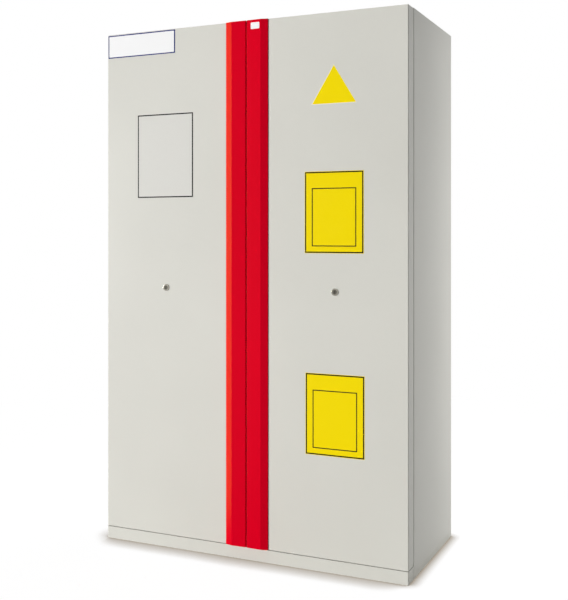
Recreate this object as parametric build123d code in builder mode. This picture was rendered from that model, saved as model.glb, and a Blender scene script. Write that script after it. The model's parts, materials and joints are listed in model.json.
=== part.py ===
"""Two-door fire-resistant storage cabinet, in millimetres.

X runs to the right, the doors face -Y and Z is up. The origin is on the floor under the middle
of the cabinet. The right-hand pieces are modelled, and the left-hand ones are their mirrors.
"""

from build123d import *
import math
import os

# Overall size
cabinet_width = 1200
cabinet_height = 1950
overall_depth = 600
wall = 54
sheet = 1.5
fold_radius = 2.5

# Base
base_height = 46
plinth_height = 45
frame_channel_width = 56
frame_gauge = 3
frame_lip = 6
board_floor_gap = 10

# Levelling feet
foot_pad_radius = 16
foot_pad_thickness = 8
foot_floor_gap = 1
foot_screw_radius = 6
foot_screw_length = 30
foot_tip_chamfer = 1.5
foot_boss_radius = 11
foot_boss_clearance = 6
thread_clearance = 0.05

# Doors
door_thickness = 60
door_gap = 4
door_bottom_gap = 1.5
door_top_drop = 2
door_seam = 4
door_swing = 110
plug_depth = 28
plug_clearance = 6
plug_draft = 8
seal_thickness = 3.7
seal_width = 14
seal_setback = 4

# Piano hinge
knuckle_radius = 3.2
knuckle_inset = 0.3
knuckle_count = 20
knuckle_end_gap = 0.3
hinge_end_gap = 12
hinge_pin_radius = 1.5
hinge_pin_clearance = 0.05
hinge_pin_head = 2
leaf_thickness = 1.2
leaf_width = 24
hinge_groove_clearance = 0.5

# Handle strips
handle_proud = 10
handle_width = 82
handle_ridge = 56
handle_edge_proud = 8.2
handle_lip = 3
handle_fold_radius = 1.5

# Locks
lock_offset = 338
lock_height = 976
rosette_radius = 13
rosette_proud = 2.5
rosette_round = 1.2
bush_radius = 11
bush_seat_clearance = 0.3
key_plug_radius = 8.5
key_plug_clearance = 0.05
key_plug_recess = 0.4
key_slot_width = 2
key_slot_length = 10
key_slot_depth = 6

# Rack and pinion of the lock
pinion_teeth = 12
pinion_pitch_radius = 10
pinion_width = 8
pressure_angle = 25
addendum_share = 0.8
dedendum_share = 1.0
backlash = 0.4
flank_steps = 5
rack_teeth_ahead = 2
rack_teeth_behind = 5

# Lock rods, their guides and keepers
rod_width = 12
rod_thickness = 6
rod_standoff = 9
rod_tip = 2
rod_tip_gap = 3
guide_clearance = 0.3
guide_wall = 4
guide_length = 20
guide_offset = 120
keeper_drop = 16
keeper_plate = 3
keeper_clearance = 0.5

# Inside
partition_thickness = 60
partition_nosing = 2
divider_thickness = 25
divider_setback = 30
divider_round = 8
rail_width = 30
rail_depth = 10
rail_gauge = 2
rail_end_gap = 60
rail_front_setback = 84
rail_rear_gap = 50
slot_pitch = 128
slot_width = 16
slot_height = 5
slot_clearance = 0.5
clip_ledge = 22
clip_width = 24
clip_gauge = 2.5
clip_leg = 20
peg_length = 6

# Trays and shelves
tray_side_gap = 3
tray_rear_gap = 8
tray_front_setback = 74
tray_corner_radius = 12
shelf_height = 32
shelf_gauge = 1.5
plastic_tray_height = 90
plastic_tray_wall = 4
sump_height = 84
insert_height = 76
insert_gap = 4
insert_hole_radius = 12
insert_holes_across = 6
insert_holes_deep = 4
shelf_slot_shares = (0.35, 0.76)
tray_slot_share = 0.65

# Extract air spigots and fire dampers
spigot_offset = 300
spigot_rear_setback = 146
spigot_radius = 50
spigot_wall = 2.5
spigot_height = 45
spigot_flange_radius = 68
spigot_flange = 2
spigot_bore_clearance = 0.4
flap_clearance = 0.5
flap_thickness = 3
flap_spindle_radius = 4
spindle_clearance = 0.05
spindle_end_gap = 0.3

# Places worked out from the sizes
half_width = cabinet_width / 2
back_y = overall_depth / 2
door_face_y = -overall_depth / 2 + handle_proud
door_back_y = door_face_y + door_thickness
body_front_y = door_back_y + door_gap
inner_x = half_width - wall
inner_rear_y = back_y - wall
roof_under_z = cabinet_height - wall
floor_top_z = base_height + wall
partition_x = partition_thickness / 2
body_depth = back_y - body_front_y
body_mid_y = (back_y + body_front_y) / 2
door_bottom_z = plinth_height + door_bottom_gap
door_top_z = cabinet_height - door_top_drop
door_free_x = door_seam / 2
hinge_x = half_width - knuckle_inset - knuckle_radius
hinge_y = (door_back_y + body_front_y) / 2
leaf_edge_x = hinge_x - knuckle_radius - knuckle_end_gap
door_groove_y = hinge_y - knuckle_radius - hinge_groove_clearance
swing_relief = (half_width - hinge_x) * math.tan(math.radians(door_swing / 2))
body_groove_y = hinge_y + swing_relief + hinge_groove_clearance
plug_face_y = door_back_y + plug_depth
rod_mid_y = plug_face_y + rod_standoff
divider_z = (floor_top_z + roof_under_z - divider_thickness) / 2
divider_top_z = divider_z + divider_thickness

os.makedirs("parts", exist_ok=True)


def save(piece, name):
    """Name a finished piece and write it to its own file."""
    piece.part.label = name
    export_step(piece.part, f"parts/{name}.step")


def save_pair(right, name):
    """Write a right-hand piece and its mirror on the left."""
    with BuildPart() as left:
        mirror(right.part, about=Plane.YZ)
    save(right, f"{name}_right")
    save(left, f"{name}_left")


def spread(low, high):
    """Length and middle of a span."""
    return high - low, (low + high) / 2


def block(x_span, y_span, z_span, mode=Mode.ADD):
    """A box between the given limits, in the current part."""
    x_size, x_mid = spread(*x_span)
    y_size, y_mid = spread(*y_span)
    z_size, z_mid = spread(*z_span)
    with Locations((x_mid, y_mid, z_mid)):
        Box(x_size, y_size, z_size, mode=mode)


def prism(points, z_span, mode=Mode.ADD):
    """Extrude a closed outline in the XY plane between two heights."""
    low, high = z_span
    with BuildSketch(Plane.XY.offset(low)) as outline:
        with BuildLine():
            Polyline(*points, close=True)
        make_face()
    extrude(outline.sketch, amount=high - low, mode=mode)


# Side walls: a folded steel pan, open to the inside, filled by an insulating board.
# The front outer corner is stepped back as one half of the groove that holds the hinge knuckles,
# far enough for the edge of the door to pass it at the end of its swing.
def side_outline(inset):
    outer = half_width - inset
    front = body_front_y + inset
    rear = back_y - inset
    step_x = leaf_edge_x - inset
    step_y = body_groove_y + inset
    return [
        (inner_x, front),
        (step_x, front),
        (step_x, step_y),
        (outer, step_y),
        (outer, rear),
        (inner_x, rear),
    ]


with BuildPart() as side_skin:
    prism(side_outline(0), (0, cabinet_height))
    rear_edge = side_skin.faces().sort_by(Axis.Y)[-1].edges().filter_by(Axis.Z).sort_by(Axis.X)[-1]
    top_edge = side_skin.faces().sort_by(Axis.Z)[-1].edges().filter_by(Axis.Y).sort_by(Axis.X)[-1]
    fillet([rear_edge, top_edge], radius=fold_radius)
    prism(side_outline(sheet), (0, cabinet_height - sheet), Mode.SUBTRACT)
save_pair(side_skin, "side_skin")

with BuildPart() as side_board:
    prism(side_outline(sheet), (board_floor_gap, cabinet_height - sheet))
save_pair(side_board, "side_board")


# Roof: pan and board, both bored for the two extract spigots.
spigot_y = back_y - spigot_rear_setback
spigot_places = [(-spigot_offset, spigot_y), (spigot_offset, spigot_y)]


def roof_bores():
    with BuildSketch(Plane.XY.offset(roof_under_z)) as bores:
        with Locations(*spigot_places):
            Circle(spigot_radius + spigot_bore_clearance)
    extrude(bores.sketch, amount=wall, mode=Mode.SUBTRACT)


roof_z = (roof_under_z, cabinet_height)
board_y = (body_front_y + sheet, back_y - sheet)
with BuildPart() as roof_skin:
    block((-inner_x, inner_x), (body_front_y, back_y), roof_z)
    block((-half_width, half_width), board_y, (roof_under_z, cabinet_height - sheet), Mode.SUBTRACT)
    roof_bores()
save(roof_skin, "roof_skin")

with BuildPart() as roof_board:
    block((-inner_x, inner_x), board_y, (roof_under_z, cabinet_height - sheet))
    roof_bores()
save(roof_board, "roof_board")


# Floor: a steel pan on the base frame, filled by its board.
with BuildPart() as floor_pan:
    block((-inner_x, inner_x), (body_front_y, back_y), (base_height, floor_top_z))
    block((-half_width, half_width), board_y, (base_height + sheet, floor_top_z), Mode.SUBTRACT)
save(floor_pan, "floor_pan")

with BuildPart() as floor_board:
    block((-inner_x, inner_x), board_y, (base_height + sheet, floor_top_z))
save(floor_board, "floor_board")


# Back: a pan with its rim turned in all round, filled by its board.
pan_x = (sheet - inner_x, inner_x - sheet)
pan_z = (floor_top_z + sheet, roof_under_z - sheet)
with BuildPart() as back_skin:
    block((-inner_x, inner_x), (inner_rear_y, back_y), (floor_top_z, roof_under_z))
    block(pan_x, (inner_rear_y, back_y - sheet), pan_z, Mode.SUBTRACT)
save(back_skin, "back_skin")

with BuildPart() as back_board:
    block(pan_x, (inner_rear_y, back_y - sheet), pan_z)
save(back_board, "back_board")


# Partition between the two rooms, with a steel nosing on the edge that the door seals close on,
# and the level divider between the upper and lower rooms on the right.
nosing_x = (-partition_x, partition_x)
core_x = (partition_nosing - partition_x, partition_x - partition_nosing)
room_z = (floor_top_z, roof_under_z)
nosing_depth = divider_setback + plug_depth
with BuildPart() as partition_nose:
    block(nosing_x, (body_front_y, body_front_y + nosing_depth), room_z)
    block(core_x, (body_front_y + partition_nosing, back_y), room_z, Mode.SUBTRACT)
save(partition_nose, "partition_nosing")

with BuildPart() as partition_wall:
    block(core_x, (body_front_y + partition_nosing, inner_rear_y), room_z)
    block(nosing_x, (body_front_y + nosing_depth, inner_rear_y), room_z)
save(partition_wall, "partition_wall")

divider_front_y = body_front_y + nosing_depth
with BuildPart() as divider:
    block((partition_x, inner_x), (divider_front_y, inner_rear_y), (divider_z, divider_top_z))
    front = divider.faces().sort_by(Axis.Y)[0]
    fillet(front.edges().filter_by(Axis.X), radius=divider_round)
save(divider, "compartment_divider")


# Plinth: folded front, top and ends, flush with the door faces.
with BuildPart() as plinth:
    block((-half_width, half_width), (door_face_y, body_front_y), (0, plinth_height))
    corners = plinth.edges().filter_by(Axis.Z).group_by(Axis.Y)[0]
    fillet(corners, radius=fold_radius)
    block(
        (sheet - half_width, half_width - sheet),
        (door_face_y + sheet, body_front_y),
        (0, plinth_height - sheet),
        Mode.SUBTRACT,
    )
save(plinth, "plinth_front")


# Base frame: a ring of lipped channel, open below, with a threaded boss for a foot at each corner.
foot_x = inner_x - frame_channel_width / 2
foot_front_y = body_front_y + frame_channel_width / 2
foot_rear_y = back_y - frame_channel_width / 2
foot_places = {
    "front_left": (-foot_x, foot_front_y),
    "front_right": (foot_x, foot_front_y),
    "rear_left": (-foot_x, foot_rear_y),
    "rear_right": (foot_x, foot_rear_y),
}
foot_pad_top_z = foot_floor_gap + foot_pad_thickness
boss_bottom_z = foot_pad_top_z + foot_boss_clearance
frame_top_inside_z = base_height - frame_gauge


def frame_ring(inset):
    with Locations((0, body_mid_y)):
        Rectangle(2 * (inner_x - inset), body_depth - 2 * inset)
        inner_inset = frame_channel_width - inset
        Rectangle(2 * (inner_x - inner_inset), body_depth - 2 * inner_inset, mode=Mode.SUBTRACT)


with BuildPart() as base_frame:
    with BuildSketch():
        frame_ring(0)
    extrude(amount=base_height)
    with BuildSketch(Plane.XY.offset(frame_gauge)):
        frame_ring(frame_gauge)
    extrude(amount=frame_top_inside_z - frame_gauge, mode=Mode.SUBTRACT)
    with BuildSketch():
        frame_ring(frame_gauge + frame_lip)
    extrude(amount=frame_gauge, mode=Mode.SUBTRACT)
    with BuildSketch(Plane.XY.offset(boss_bottom_z)):
        with Locations(*foot_places.values()):
            Circle(foot_boss_radius)
    extrude(amount=frame_top_inside_z - boss_bottom_z)
    with BuildSketch(Plane.XY.offset(boss_bottom_z)):
        with Locations(*foot_places.values()):
            Circle(foot_screw_radius + thread_clearance)
    extrude(amount=frame_top_inside_z - boss_bottom_z, mode=Mode.SUBTRACT)
save(base_frame, "base_frame")

for corner, (x, y) in foot_places.items():
    with BuildPart() as foot:
        with BuildSketch(Plane.XY.offset(foot_floor_gap)):
            with Locations((x, y)):
                RegularPolygon(foot_pad_radius, side_count=6)
        extrude(amount=foot_pad_thickness)
        with BuildSketch(Plane.XY.offset(foot_pad_top_z)):
            with Locations((x, y)):
                Circle(foot_screw_radius)
        extrude(amount=foot_screw_length)
        tip = foot.faces().sort_by(Axis.Z)[-1]
        chamfer(tip.edges(), length=foot_tip_chamfer)
    save(foot, f"foot_{corner}")


# Extract spigots: a flanged tube through the roof, pierced for the spindle of its fire damper.
# The damper flap stands upright when open and turns level to shut the tube.
spigot_top_z = cabinet_height + spigot_height
spigot_bore = spigot_radius - spigot_wall
flap_z = (roof_under_z + spigot_top_z) / 2
for side, (x, y) in zip(("left", "right"), spigot_places):
    axle_plane = Plane(origin=(x, y, flap_z), x_dir=(0, 1, 0), z_dir=(1, 0, 0))
    with BuildPart() as spigot:
        with BuildSketch(Plane.XY.offset(roof_under_z)):
            with Locations((x, y)):
                Circle(spigot_radius)
        extrude(amount=spigot_top_z - roof_under_z)
        with BuildSketch(Plane.XY.offset(cabinet_height)):
            with Locations((x, y)):
                Circle(spigot_flange_radius)
        extrude(amount=spigot_flange)
        with BuildSketch(Plane.XY.offset(roof_under_z)):
            with Locations((x, y)):
                Circle(spigot_bore)
        extrude(amount=spigot_top_z - roof_under_z, mode=Mode.SUBTRACT)
        with BuildSketch(axle_plane):
            Circle(flap_spindle_radius + spindle_clearance)
        extrude(amount=spigot_radius, both=True, mode=Mode.SUBTRACT)
    save(spigot, f"exhaust_spigot_{side}")

    with BuildPart() as flap:
        with BuildSketch(Plane(origin=(x, y, flap_z), x_dir=(1, 0, 0), z_dir=(0, 1, 0))):
            Circle(spigot_bore - flap_clearance)
        extrude(amount=flap_thickness / 2, both=True)
        with BuildSketch(axle_plane):
            Circle(flap_spindle_radius)
        extrude(amount=spigot_radius - spindle_end_gap, both=True)
    save(flap, f"damper_flap_{side}")


# Piano hinge: a leaf on the body and a leaf on the door, with alternate knuckles on one pin.
# The groove stepped into the two corners leaves room for the knuckles, flush with the side.
hinge_z = (door_bottom_z + hinge_end_gap, door_top_z - hinge_end_gap)
knuckle_pitch = (hinge_z[1] - hinge_z[0]) / knuckle_count
knuckle_bore = hinge_pin_radius + hinge_pin_clearance


def hinge_leaf(first_gap, leaf_y):
    """A leaf rolled into a barrel, with a gap for every second knuckle from the first one."""
    with BuildSketch(Plane.XY.offset(hinge_z[0])) as section:
        leaf_size, leaf_mid_y = spread(*leaf_y)
        with Locations(((leaf_edge_x - leaf_width + hinge_x) / 2, leaf_mid_y)):
            Rectangle(hinge_x - leaf_edge_x + leaf_width, leaf_size)
        with Locations((hinge_x, hinge_y)):
            Circle(knuckle_radius)
            Circle(knuckle_bore, mode=Mode.SUBTRACT)
    extrude(section.sketch, amount=hinge_z[1] - hinge_z[0])
    gaps = range(first_gap, knuckle_count, 2)
    gap_places = [(hinge_x, hinge_z[0] + (index + 1 / 2) * knuckle_pitch) for index in gaps]
    with BuildSketch(Plane.XZ.offset(-hinge_y)) as windows:
        with Locations(*gap_places):
            Rectangle(2 * (hinge_x - leaf_edge_x), knuckle_pitch + knuckle_end_gap)
    extrude(windows.sketch, amount=leaf_width, both=True, mode=Mode.SUBTRACT)


with BuildPart() as body_leaf:
    hinge_leaf(1, (body_front_y - leaf_thickness, body_front_y))
save_pair(body_leaf, "hinge_leaf_body")

with BuildPart() as door_leaf:
    hinge_leaf(0, (door_back_y, door_back_y + leaf_thickness))
save_pair(door_leaf, "hinge_leaf_door")

with BuildPart() as hinge_pin:
    with BuildSketch(Plane.XY.offset(hinge_z[0])):
        with Locations((hinge_x, hinge_y)):
            Circle(hinge_pin_radius)
    extrude(amount=hinge_z[1] - hinge_z[0])
    with BuildSketch(Plane.XY.offset(hinge_z[1])):
        with Locations((hinge_x, hinge_y)):
            Circle(knuckle_radius)
    extrude(amount=hinge_pin_head)
save_pair(hinge_pin, "hinge_pin")


# Door: a steel pan open at the back, an insulating core, and an inner panel with a drafted plug
# that fills the opening when the door is shut.
def door_outline(inset, rear_y):
    """Door section from the free edge to the hinge groove, ending at a rear limit."""
    outer = half_width - inset
    step_x = leaf_edge_x - inset
    step_y = door_groove_y - inset
    return [
        (door_free_x + inset, door_face_y + inset),
        (outer, door_face_y + inset),
        (outer, step_y),
        (step_x, step_y),
        (step_x, rear_y),
        (door_free_x + inset, rear_y),
    ]


plug_x = (partition_x + plug_clearance, inner_x - plug_clearance)
plug_z = (floor_top_z + plug_clearance, roof_under_z - plug_clearance)
plug_width, plug_mid_x = spread(*plug_x)
plug_height, plug_mid_z = spread(*plug_z)
lock_plane = Plane(origin=(lock_offset, 0, lock_height), x_dir=(1, 0, 0), z_dir=(0, -1, 0))
cavity_z = (door_bottom_z + sheet, door_top_z - sheet)
flange_y = door_back_y - sheet


def plug_form(inset, from_y, depth, mode=Mode.ADD):
    """The drafted plug, standing rearwards from a plane."""
    with BuildSketch(Plane.XZ.offset(-from_y)) as footprint:
        with Locations((plug_mid_x, plug_mid_z)):
            Rectangle(plug_width - 2 * inset, plug_height - 2 * inset)
    extrude(footprint.sketch, amount=-depth, taper=plug_draft, mode=mode)


def lock_bore():
    """Clear the lock's bush through the whole door."""
    with BuildSketch(lock_plane) as bore:
        Circle(bush_radius + bush_seat_clearance)
    extrude(bore.sketch, amount=overall_depth, both=True, mode=Mode.SUBTRACT)


with BuildPart() as door_skin:
    prism(door_outline(0, door_back_y), (door_bottom_z, door_top_z))
    front = door_skin.faces().sort_by(Axis.Y)[0]
    corners = door_skin.edges().filter_by(Axis.Y).sort_by(SortBy.LENGTH)[-4:]
    fillet(front.edges() + corners, radius=fold_radius)
    prism(door_outline(sheet, door_back_y), cavity_z, Mode.SUBTRACT)
    lock_bore()
save_pair(door_skin, "door_skin")

with BuildPart() as door_panel:
    block((door_free_x + sheet, leaf_edge_x - sheet), (flange_y, door_back_y), cavity_z)
    plug_form(0, door_back_y, plug_depth)
    plug_form(sheet, flange_y, plug_depth, Mode.SUBTRACT)
    lock_bore()
save_pair(door_panel, "door_inner_panel")

with BuildPart() as door_core:
    prism(door_outline(sheet, flange_y), cavity_z)
    plug_form(sheet, flange_y, plug_depth)
    lock_bore()
save_pair(door_core, "door_core")

seal_inner_x = (partition_x - seal_setback, inner_x + seal_setback)
seal_inner_z = (floor_top_z - seal_setback, roof_under_z + seal_setback)
seal_mid_x = (seal_inner_x[0] + seal_inner_x[1]) / 2
seal_mid_z = (seal_inner_z[0] + seal_inner_z[1]) / 2
with BuildPart() as door_seal:
    with BuildSketch(Plane.XZ.offset(-door_back_y)):
        with Locations((seal_mid_x, seal_mid_z)):
            bore_width = seal_inner_x[1] - seal_inner_x[0]
            bore_height = seal_inner_z[1] - seal_inner_z[0]
            RectangleRounded(bore_width + 2 * seal_width, bore_height + 2 * seal_width, seal_width)
            Rectangle(bore_width, bore_height, mode=Mode.SUBTRACT)
    extrude(amount=-seal_thickness)
save_pair(door_seal, "door_seal")


# Handle: a strip over the full height, folded to a wide flat that dips a little towards the seam,
# a ridge and a sloping facet.
def handle_outline(inset):
    near = door_free_x + inset
    far = door_free_x + handle_width - inset
    return [
        (near, door_face_y),
        (near, door_face_y - handle_edge_proud + inset),
        (door_free_x + handle_ridge, door_face_y - handle_proud + inset),
        (far, door_face_y - handle_lip + inset),
        (far, door_face_y),
    ]


with BuildPart() as handle:
    prism(handle_outline(0), (door_bottom_z, door_top_z))
    folds = handle.edges().filter_by(Axis.Z).sort_by(Axis.Y)[:3]
    fillet(folds, radius=handle_fold_radius)
    prism(handle_outline(sheet), cavity_z, Mode.SUBTRACT)
save_pair(handle, "handle")


# Lock: a bush with a rosette on the door face carries the key plug, whose pinion lies behind the
# door between the racks of the two rods.
pinion_front_y = rod_mid_y - pinion_width / 2
bush_rear_y = pinion_front_y - guide_clearance
rosette_y = door_face_y - rosette_proud
with BuildPart() as lock_bush:
    with BuildSketch(lock_plane.offset(-rosette_y)):
        Circle(rosette_radius)
    extrude(amount=-rosette_proud)
    rim = lock_bush.faces().sort_by(Axis.Y)[0]
    fillet(rim.edges(), radius=rosette_round)
    with BuildSketch(lock_plane.offset(-door_face_y)):
        Circle(bush_radius)
    extrude(amount=door_face_y - bush_rear_y)
    with BuildSketch(lock_plane):
        Circle(key_plug_radius + key_plug_clearance)
    extrude(amount=overall_depth, both=True, mode=Mode.SUBTRACT)
save_pair(lock_bush, "lock_bush")

module = 2 * pinion_pitch_radius / pinion_teeth
tooth_pitch = math.pi * module
addendum = addendum_share * module
dedendum = dedendum_share * module
pinion_tip = pinion_pitch_radius + addendum
pinion_root = pinion_pitch_radius - dedendum
base_radius = pinion_pitch_radius * math.cos(math.radians(pressure_angle))
tooth_thickness = (tooth_pitch - backlash) / 2


def involute(angle):
    return math.tan(angle) - angle


def pinion_outline():
    """Involute teeth, the first one pointing along the sketch's X axis."""
    points = []
    half_tooth = tooth_thickness / 2 / pinion_pitch_radius + involute(math.radians(pressure_angle))
    flank = []
    for step in range(flank_steps):
        radius = base_radius + (pinion_tip - base_radius) * step / (flank_steps - 1)
        flank.append((radius, half_tooth - involute(math.acos(base_radius / radius))))
    flank.insert(0, (pinion_root, half_tooth))
    for tooth in range(pinion_teeth):
        turn = 2 * math.pi * tooth / pinion_teeth
        rising = [(radius, turn - half) for radius, half in flank]
        falling = [(radius, turn + half) for radius, half in reversed(flank)]
        for radius, angle in rising + falling:
            points.append((radius * math.cos(angle), radius * math.sin(angle)))
    return points


with BuildPart() as key_plug:
    with BuildSketch(lock_plane.offset(-rosette_y - key_plug_recess)):
        Circle(key_plug_radius)
    extrude(amount=rosette_y + key_plug_recess - pinion_front_y)
    with BuildSketch(lock_plane.offset(-pinion_front_y)):
        with BuildLine():
            Polyline(*pinion_outline(), close=True)
        make_face()
    extrude(amount=-pinion_width)
    with BuildSketch(lock_plane.offset(-rosette_y)):
        Rectangle(key_slot_width, key_slot_length)
    extrude(amount=-key_slot_depth, mode=Mode.SUBTRACT)
save_pair(key_plug, "key_plug")


# Lock rods: flat bars with a rack at the lock end and a chamfered tip at the other. The upper rod
# runs on the outer side of the pinion and the lower rod on the inner side.
rod_inner = pinion_pitch_radius + dedendum
rod_outer = rod_inner + rod_width
rod_y = (rod_mid_y - rod_thickness / 2, rod_mid_y + rod_thickness / 2)
keeper_top_z = roof_under_z - keeper_drop
keeper_bottom_z = floor_top_z + keeper_drop
rack_end = (rack_teeth_behind + 1) * tooth_pitch
flank_rise = math.tan(math.radians(pressure_angle))


def rack_tooth(side, centre_z):
    """One straight-sided tooth, pointing at the pinion from the given side."""
    tip_half = tooth_thickness / 2 - addendum * flank_rise
    root_half = tooth_thickness / 2 + dedendum * flank_rise
    tip_x = lock_offset + side * (pinion_pitch_radius - addendum)
    root_x = lock_offset + side * rod_inner
    with BuildSketch(Plane.XZ.offset(-rod_y[0])) as tooth:
        with BuildLine():
            Polyline(
                (root_x, centre_z - root_half),
                (tip_x, centre_z - tip_half),
                (tip_x, centre_z + tip_half),
                (root_x, centre_z + root_half),
                close=True,
            )
        make_face()
    extrude(tooth.sketch, amount=-rod_thickness)


def lock_rod(side, tip_z):
    """A rod from the lock to its tip. It points up where the tip is above the lock."""
    up = 1 if tip_z > lock_height else -1
    x_near = lock_offset + side * rod_inner
    x_far = lock_offset + side * rod_outer
    end_z = lock_height - up * rack_end
    block(sorted((x_near, x_far)), rod_y, sorted((end_z, tip_z)))
    for tooth in range(-rack_teeth_behind, rack_teeth_ahead):
        rack_tooth(side, lock_height + up * (tooth + 1 / 2) * tooth_pitch)


with BuildPart() as rod_upper:
    lock_rod(1, keeper_top_z - rod_tip_gap)
    tip = rod_upper.faces().sort_by(Axis.Z)[-1]
    chamfer(tip.edges(), length=rod_tip)
save_pair(rod_upper, "lock_rod_upper")

with BuildPart() as rod_lower:
    lock_rod(-1, keeper_bottom_z + rod_tip_gap)
    tip = rod_lower.faces().sort_by(Axis.Z)[0]
    chamfer(tip.edges(), length=rod_tip)
save_pair(rod_lower, "lock_rod_lower")


# Rod guides: bridges on the plug face, two to a rod.
rod_mid = (rod_inner + rod_outer) / 2
guide_half = rod_width / 2 + guide_clearance
guide_top_y = rod_y[1] + guide_clearance
upper_rod_x = lock_offset + rod_mid
lower_rod_x = lock_offset - rod_mid
guide_places = [
    (upper_rod_x, lock_height + guide_offset),
    (upper_rod_x, roof_under_z - guide_offset),
    (lower_rod_x, lock_height - guide_offset),
    (lower_rod_x, floor_top_z + guide_offset),
]
with BuildPart() as rod_guides:
    for x, z in guide_places:
        outer = guide_half + guide_wall
        z_limits = (z - guide_length / 2, z + guide_length / 2)
        block((x - outer, x + outer), (plug_face_y, guide_top_y + guide_wall), z_limits)
        window_y = (rod_y[0] - guide_clearance, guide_top_y)
        block((x - guide_half, x + guide_half), window_y, z_limits, Mode.SUBTRACT)
save_pair(rod_guides, "rod_guides")


# Keepers: a slotted plate on two legs under the roof, and another on the floor, for each door.
keeper_half = rod_width / 2 + keeper_clearance
keeper_y_half = rod_thickness / 2 + keeper_clearance
with BuildPart() as keepers:
    for mirror_side in (-1, 1):
        for rod_x, face_z, plate_z in (
            (upper_rod_x, roof_under_z, keeper_top_z),
            (lower_rod_x, floor_top_z, keeper_bottom_z),
        ):
            x = mirror_side * rod_x
            inward = 1 if face_z > plate_z else -1
            leg = keeper_half + 2 * keeper_plate
            depth = keeper_y_half + keeper_plate
            y_limits = (rod_mid_y - depth, rod_mid_y + depth)
            legs_z = sorted((plate_z, face_z))
            block((x - leg, x + leg), y_limits, legs_z)
            under = sorted((plate_z + inward * keeper_plate, face_z))
            block((x - leg + keeper_plate, x + leg - keeper_plate), y_limits, under, Mode.SUBTRACT)
            slot_y = (rod_mid_y - keeper_y_half, rod_mid_y + keeper_y_half)
            block((x - keeper_half, x + keeper_half), slot_y, legs_z, Mode.SUBTRACT)
save(keepers, "rod_keepers")


# Shelf rails: slotted channels on the walls of each room, at the front and at the rear.
rail_y_front = body_front_y + rail_front_setback
rail_y_rear = inner_rear_y - rail_rear_gap - rail_width
left_wall_pair = (-inner_x, -partition_x)
right_wall_pair = (partition_x, inner_x)
left_room_z = (floor_top_z + sump_height + rail_end_gap, roof_under_z - rail_end_gap)
lower_room_z = (floor_top_z + plastic_tray_height + rail_end_gap, divider_z - rail_end_gap)
upper_room_z = (divider_top_z + plastic_tray_height + rail_end_gap, roof_under_z - rail_end_gap)
rooms = [
    (left_wall_pair, left_room_z),
    (right_wall_pair, lower_room_z),
    (right_wall_pair, upper_room_z),
]


def slot_heights(z_span):
    low, high = z_span
    count = int((high - low) // slot_pitch)
    return [low + (index + 1 / 2) * slot_pitch for index in range(count)]


def rail(wall_x, inward, y, z_span):
    """A channel with its open side on the wall, and its web slotted for the clips."""
    face_x = wall_x + inward * rail_depth
    hollow_y = (y + rail_gauge, y + rail_width - rail_gauge)
    slot_places = [(y + rail_width / 2, z + slot_height / 2) for z in slot_heights(z_span)]
    with BuildPart() as channel:
        block(sorted((wall_x, face_x)), (y, y + rail_width), z_span)
        block(sorted((wall_x, face_x - inward * rail_gauge)), hollow_y, z_span, Mode.SUBTRACT)
        with BuildSketch(Plane.YZ.offset(wall_x)):
            with Locations(*slot_places):
                Rectangle(slot_width, slot_height)
        extrude(amount=inward * rail_depth, mode=Mode.SUBTRACT)
    return channel.part


rails = []
for walls, z_span in rooms:
    for wall_x, inward in zip(walls, (1, -1)):
        for y in (rail_y_front, rail_y_rear):
            rails.append(rail(wall_x, inward, y, z_span))
with BuildPart() as shelf_rails:
    add(rails)
save(shelf_rails, "shelf_rails")


# Shelf clips: a ledge with a peg that hooks through a slot of the rail and a leg against its web.
def seat(z_span, share):
    """The slot that lies at a share of the way up a rail."""
    heights = slot_heights(z_span)
    return heights[int(len(heights) * share)]


shelf_seats = [seat(left_room_z, share) for share in shelf_slot_shares]
lower_seat = seat(lower_room_z, tray_slot_share)
upper_seat = seat(upper_room_z, tray_slot_share)


def clip(wall_x, inward, y, seat_z):
    face_x = wall_x + inward * rail_depth
    y_mid = y + rail_width / 2
    y_limits = (y_mid - clip_width / 2, y_mid + clip_width / 2)
    ledge_x = sorted((face_x, face_x + inward * clip_ledge))
    block(ledge_x, y_limits, (seat_z, seat_z + clip_gauge))
    leg_x = sorted((face_x, face_x + inward * clip_gauge))
    block(leg_x, y_limits, (seat_z - clip_leg, seat_z + clip_gauge))
    peg_half = slot_width / 2 - slot_clearance
    peg_x = sorted((face_x, face_x - inward * peg_length))
    peg_z = (seat_z + slot_clearance, seat_z + clip_gauge)
    block(peg_x, (y_mid - peg_half, y_mid + peg_half), peg_z)


clip_sets = [
    (left_wall_pair, shelf_seats[0]),
    (left_wall_pair, shelf_seats[1]),
    (right_wall_pair, lower_seat),
    (right_wall_pair, upper_seat),
]
with BuildPart() as shelf_clips:
    for walls, seat_z in clip_sets:
        for wall_x, inward in zip(walls, (1, -1)):
            for y in (rail_y_front, rail_y_rear):
                clip(wall_x, inward, y, seat_z)
save(shelf_clips, "shelf_clips")


# Trays: open pans with rounded corners. The steel shelves and the plastic trays differ in height
# and wall, and the sump has a perforated insert that stands in it upside down.
tray_y = (body_front_y + tray_front_setback, inner_rear_y - tray_rear_gap)
tray_depth, tray_mid_y = spread(*tray_y)
tray_width = inner_x - partition_x - 2 * (rail_depth + tray_side_gap)
room_mid_x = (inner_x + partition_x) / 2


def tray_solid(x, z, shrink, height, mode=Mode.ADD):
    with BuildSketch(Plane.XY.offset(z)) as plan:
        with Locations((x, tray_mid_y)):
            radius = tray_corner_radius - shrink
            RectangleRounded(tray_width - 2 * shrink, tray_depth - 2 * shrink, radius)
    extrude(plan.sketch, amount=height, mode=mode)


def tray(name, x, z, height, gauge):
    with BuildPart() as pan:
        tray_solid(x, z, 0, height)
        tray_solid(x, z + gauge, gauge, height - gauge, Mode.SUBTRACT)
    save(pan, name)


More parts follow.
